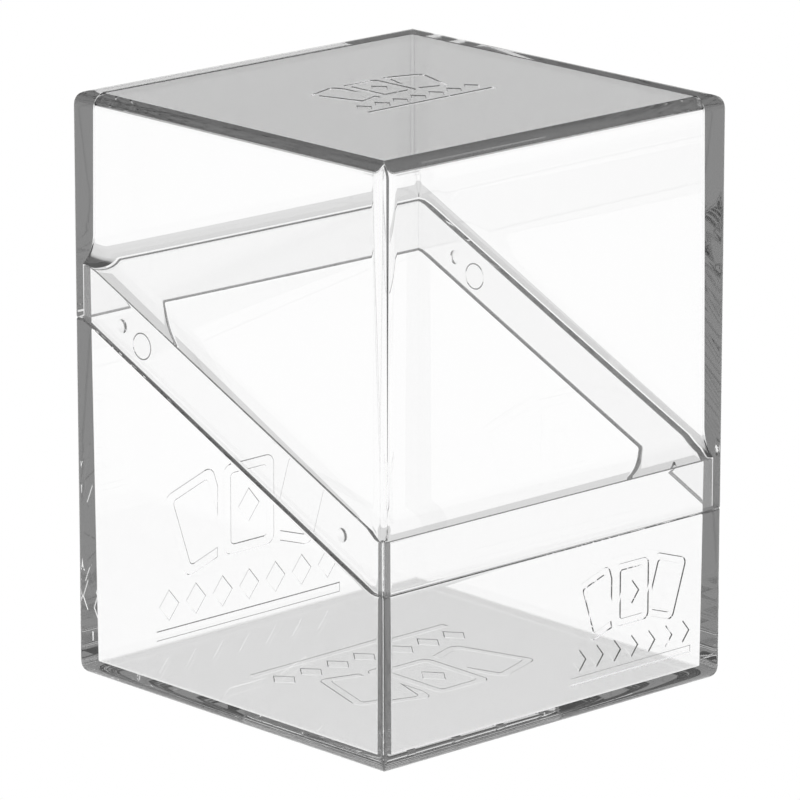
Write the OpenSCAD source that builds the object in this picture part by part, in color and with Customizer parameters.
// Clear two-piece deck case: a base with a low front and a high back, and a
// lid that slides down over the base's collar until the two walls meet flush
// on a parting line that climbs from front to back.
// The front faces -Y, the origin is the middle of the underside.

/* [Overall size] */
// Outside width, left to right
case_w = 75; // [72:0.5:90]
// Outside depth, front to back
case_d = 73.7; // [72:0.1:90]
// Outside height of the closed case
case_h = 98; // [94:0.5:110]
// Thickness of the four walls
wall = 2.7; // [2.5:0.1:3]
// Thickness of the floor and of the top
floor_t = 2.5; // [2.4:0.1:3]
// Radius of the edges round the top and round the underside
edge_r = 2.3; // [1.6:0.1:2.3]
// Radius of the upright outer edges
upright_r = 1.0; // [0.8:0.1:1.5]
// Radius of the upright inner corners
inner_r = 0.3; // [0.2:0.1:0.8]

/* [Parting line] */
// Height of the parting line along the front
front_lip_z = 29.1; // [26:0.1:34]
// Height of the parting line along the back
back_lip_z = 60.4; // [56:0.1:64]
// Radius where the level and the sloping stretches meet
bend_r = 4; // [2:0.5:6]
// Gap between the lid's lower edge and the base's shoulder
seat_gap = 0.05; // [0.02:0.01:0.1]

/* [Lap joint] */
// Thickness of the collar, the inner half of the lapped wall
collar_t = 1.2; // [1.1:0.05:1.4]
// Gap between the collar and the lid's skirt
lap_gap = 0.2; // [0.18:0.01:0.3]
// Top of the collar along the front
collar_front_z = 37.6; // [34:0.1:42]
// Top of the collar along the back
collar_back_z = 69.2; // [64:0.1:72]
// Rise from the collar's top to where the lid's wall starts to thicken
step_gap = 0.25; // [0.2:0.05:0.6]
// Rise from the collar's top to where the lid's wall has its full thickness
step_rise = 6.0; // [4:0.5:8]

/* [Detents] */
// Diameter of a detent nub on the lid's skirt, at its root
nub_d = 2.3; // [1.5:0.1:3]
// Height of a detent nub, less than the gap it stands in
nub_h = 0.15; // [0.1:0.01:0.16]
// Height of the detents above the parting line
nub_rise = 4.3; // [3.5:0.1:5]
// Diameter of the round marks left by the mould's pins
pin_mark_d = 4.3; // [3:0.1:5]

/* [Engraving] */
// Depth of the engraved emblems
engrave = 0.15; // [0.1:0.05:0.4]
// Width of the emblem on the top and on the front
emblem_w = 27; // [20:1:30]

/* [Hidden] */
$fn = 48;

half_w = case_w / 2;
half_d = case_d / 2;
inset = wall - collar_t;                 // outer face of the collar, from outside
skirt_inset = inset - lap_gap;           // inner face of the skirt, from outside
lap_r = inner_r + 0.3;                   // upright corners of the collar and the skirt's bore
corner_steps = 5;                        // chords in each inner corner of the lid
bend_steps = 4;                          // chords in each bend of the parting line
step_rings = 10;                         // rings in the lid's wall step
over = 1;                                // how far a cutter runs past a face
min_chord = 0.05;
pin_mark_depth = 0.15;
front_nub_in = 10.4;                     // detents, in from the front and the back
back_nub_in = 11;
collar_mark_in = 15.8;                   // pin marks, in from the back
collar_mark_rise = 4.05;                 // and above the parting line
part_bend_in = 2.5;                      // bends of the parting line, in from both ends
rim_front_in = 0.95;                     // bends of the collar's top, in from the front
rim_back_in = 3.45;                      // and from the back
rim_ramp = 0.8;                          // stretch over which the front's level rim joins the slope
front_emblem_x = 17;                     // the front's emblem stands right of the middle
front_emblem_z = 14.5;
back_emblem_z = 15;
large_emblem_w = 1.5 * emblem_w;         // emblem on the back and on the underside
dimple_d = nub_d + 0.5;                  // recess in the collar under each detent
dimple_depth = 0.1;
nub_root = 0.3;                          // how far a nub reaches into the skirt behind it

back_nub_y = half_d - back_nub_in;
front_nub_y = -half_d + front_nub_in;
collar_mark_y = half_d - collar_mark_in;

// The level and sloping stretches of the parting line and of the collar's top
PARTING = [[-half_d + part_bend_in, front_lip_z], [half_d - part_bend_in, back_lip_z]];
COLLAR_TOP = [[-half_d + rim_front_in, collar_front_z], [half_d - rim_back_in, collar_back_z]];

// Height of a line that runs level, bends up at a[0], bends level again at a[1]
function slope_angle(a) = atan2(a[1][1] - a[0][1], a[1][0] - a[0][0]);
function bend_len(a) = bend_r * tan(slope_angle(a) / 2);
function line_z(a, y) =
    let (s = slope_angle(a), t = bend_len(a), y0 = a[0][0] - t, y1 = a[1][0] + t,
         reach = bend_r * sin(s))
    y <= y0 ? a[0][1] :
    y < y0 + reach ? a[0][1] + bend_r - sqrt(pow(bend_r, 2) - pow(y - y0, 2)) :
    y < y1 - reach ? a[0][1] + (y - a[0][0]) * tan(s) :
    y < y1 ? a[1][1] - bend_r + sqrt(pow(bend_r, 2) - pow(y1 - y, 2)) :
    a[1][1];

// Where the line bends at its front and at its back end, in short chords
function front_bend_ys(a) =
    [for (i = [0:bend_steps])
        a[0][0] - bend_len(a) + bend_r * sin(slope_angle(a)) * i / bend_steps];
function back_bend_ys(a) =
    [for (i = [0:bend_steps])
        a[1][0] + bend_len(a) - bend_r * sin(slope_angle(a)) * (1 - i / bend_steps)];

// Height of the collar's top, level across the thickness of the front wall
function rim_z(y) =
    collar_front_z + (line_z(COLLAR_TOP, y) - collar_front_z)
        * min(max((y + half_d - wall) / rim_ramp, 0), 1);

parting_ys = concat(front_bend_ys(PARTING), back_bend_ys(PARTING));
rim_ys = concat([-half_d + wall, -half_d + wall + rim_ramp], back_bend_ys(COLLAR_TOP));

// Everything below a line through the given heights, wider than the case
module below(ys, zs) {
    last = len(ys) - 1;
    outline = concat([[-case_d, -over], [-case_d, zs[0]]],
                     [for (i = [0:last]) [ys[i], zs[i]]],
                     [[case_d, zs[last]], [case_d, -over]]);
    rotate([90, 0, 90])
        linear_extrude(2 * case_w, center = true) polygon(outline);
}

module below_parting(rise = 0) {
    below(parting_ys, [for (y = parting_ys) line_z(PARTING, y) + rise]);
}

module rounded_rect(w, d, r) {
    square([w - 2 * r, d], center = true);
    square([w, d - 2 * r], center = true);
    for (x = [-1, 1], y = [-1, 1])
        translate([x * (w / 2 - r), y * (d / 2 - r)]) circle(r);
}

// The whole case as one solid block with every outer edge rounded
module outer_block() {
    intersection() {
        linear_extrude(case_h) rounded_rect(case_w, case_d, upright_r);
        translate([0, 0, case_h / 2]) rotate([90, 0, 0])
            linear_extrude(2 * case_d, center = true)
                rounded_rect(case_w, case_h, edge_r);
        translate([0, 0, case_h / 2]) rotate([90, 0, 90])
            linear_extrude(2 * case_w, center = true)
                rounded_rect(case_d, case_h, edge_r);
    }
}

// Prism with its upright walls in from the outer faces by the given amount
module inset_prism(amount, r, z0, z1) {
    translate([0, 0, z0]) linear_extrude(z1 - z0)
        rounded_rect(case_w - 2 * amount, case_d - 2 * amount, r);
}

// ---- emblem: a fan of three blank cards over a row of lozenges -------------

module card_outline(w, line) {
    difference() {
        rounded_rect(w, 1.4 * w, 0.14 * w);
        rounded_rect(w - 2 * line, 1.4 * w - 2 * line, 0.14 * w - line / 2);
    }
}

module lozenge(w) {
    polygon([[-w / 2, 0], [0, -0.62 * w], [w / 2, 0], [0, 0.62 * w]]);
}

module emblem(w) {
    card_w = 0.27 * w;
    line = 0.035 * w;
    translate([0, 0.17 * w]) {
        card_outline(card_w, line);
        lozenge(0.4 * card_w);
        for (side = [-1, 1])
            difference() {
                translate([side * 0.27 * w, -0.02 * w]) rotate(-side * 18)
                    card_outline(card_w, line);
                rounded_rect(card_w + 2 * line, 1.4 * card_w + 2 * line, 0.14 * card_w);
            }
    }
    for (i = [-3:3])
        translate([i * 0.145 * w, -0.17 * w]) lozenge(0.1 * w);
    translate([0, -0.29 * w]) square([w, line], center = true);
}

// ---- base ------------------------------------------------------------------

// At the detents of one side, with +Z pointing inwards from a face set in by amount
module at_detents(side, amount) {
    for (y = [front_nub_y, back_nub_y])
        translate([side * (half_w - amount), y, line_z(PARTING, y) + nub_rise])
            rotate([0, -side * 90, 0]) children();
}

module base() {
    color([0.86, 0.87, 0.88, 0.5]) {
        difference() {
            union() {
                intersection() {
                    outer_block();
                    below_parting();
                }
                intersection() {
                    inset_prism(inset, lap_r, floor_t, case_h);
                    below(rim_ys, [for (y = rim_ys) rim_z(y)]);
                }
            }
            inset_prism(wall, inner_r, floor_t, case_h);
            // round mark of a mould's pin and two dimples in each side of the collar
            for (side = [-1, 1]) {
                translate([side * (half_w - inset - pin_mark_depth), collar_mark_y,
                           line_z(PARTING, collar_mark_y) + collar_mark_rise])
                    rotate([0, side * 90, 0]) cylinder(d = pin_mark_d, h = over);
                at_detents(side, inset) translate([0, 0, -over])
                    cylinder(d = dimple_d, h = over + dimple_depth);
            }
            // emblems on the front, the back and the underside
            translate([front_emblem_x, -half_d + engrave, front_emblem_z]) rotate([90, 0, 0])
                linear_extrude(engrave + over) emblem(emblem_w);
            translate([0, half_d - engrave, back_emblem_z]) rotate([90, 0, 180])
                linear_extrude(engrave + over) emblem(large_emblem_w);
            translate([0, 0, engrave]) rotate([180, 0, 0])
                linear_extrude(engrave + over) emblem(large_emblem_w);
        }
    }
}

// ---- lid -------------------------------------------------------------------

// Points of a level ring, anticlockwise from the back right corner, with points
// on the sides wherever the collar's top bends
side_ys = [for (y = rim_ys) if (abs(y) < half_d - wall - inner_r - min_chord) y];
function corner(x, y, start, r) =
    [for (i = [0:corner_steps])
        [x + r * cos(start + 90 * i / corner_steps), y + r * sin(start + 90 * i / corner_steps)]];
function ring_xy(amount, r) =
    let (x = half_w - amount - r, y = half_d - amount - r, last = len(side_ys) - 1)
    concat(corner(x, y, 0, r), corner(-x, y, 90, r),
           [for (i = [last:-1:0]) [-x - r, side_ys[i]]],
           corner(-x, -y, 180, r), corner(x, -y, 270, r),
           [for (i = [0:last]) [x + r, side_ys[i]]]);

// The same ring with its height taken from the collar's top
function ring_on_line(amount, r, rise) =
    [for (p = ring_xy(amount, r)) [p[0], p[1], rim_z(p[1]) + rise]];

function ring_level(amount, r, z) = [for (p = ring_xy(amount, r)) [p[0], p[1], z]];

// The step is an arc that ends upright at its top
step_depth = wall - skirt_inset;
step_height = step_rise - step_gap;
step_arc_r = (pow(step_height, 2) + pow(step_depth, 2)) / (2 * step_depth);

// Share of the step's depth taken at the share u of its height
function step_share(u) =
    1 - (step_arc_r - sqrt(pow(step_arc_r, 2) - pow(step_height * (1 - u), 2))) / step_depth;

// Inside of the lid: skirt bore, hollow step to the full wall, and deck space
module lid_cavity() {
    ring_n = len(ring_xy(wall, inner_r));
    step = [for (i = [0:step_rings])
        let (u = i / step_rings, blend = step_share(u))
        ring_on_line(skirt_inset + step_depth * blend,
                     lap_r + (inner_r - lap_r) * blend,
                     step_gap + step_height * u)];
    rings = concat([ring_level(skirt_inset, lap_r, 0)], step,
                   [ring_level(wall, inner_r, case_h - floor_t)]);
    last = len(rings) - 1;
    sides = [for (k = [0:last - 1], i = [0:ring_n - 1])
        let (a = k * ring_n + i, b = k * ring_n + (i + 1) % ring_n)
        each [[a, b + ring_n, b], [a, a + ring_n, b + ring_n]]];
    middle = len(rings) * ring_n;
    caps = [for (i = [0:ring_n - 1])
        let (next = (i + 1) % ring_n)
        each [[middle, i, next], [middle + 1, last * ring_n + next, last * ring_n + i]]];
    polyhedron(concat([for (ring = rings) each ring],
                      [[0, 0, rings[0][0][2]], [0, 0, rings[last][0][2]]]),
               concat(caps, sides));
}

module lid() {
    color([0.93, 0.94, 0.95, 0.5]) {
        difference() {
            outer_block();
            below_parting(seat_gap);
            lid_cavity();
            translate([0, 0, case_h - engrave])
                linear_extrude(engrave + over) emblem(emblem_w);
        }
        for (side = [-1, 1])
            at_detents(side, skirt_inset)
                translate([0, 0, -nub_root])
                    cylinder(d1 = nub_d + 2 * nub_root, d2 = nub_d - 2 * nub_h,
                             h = nub_root + nub_h);
    }
}

base();
lid();
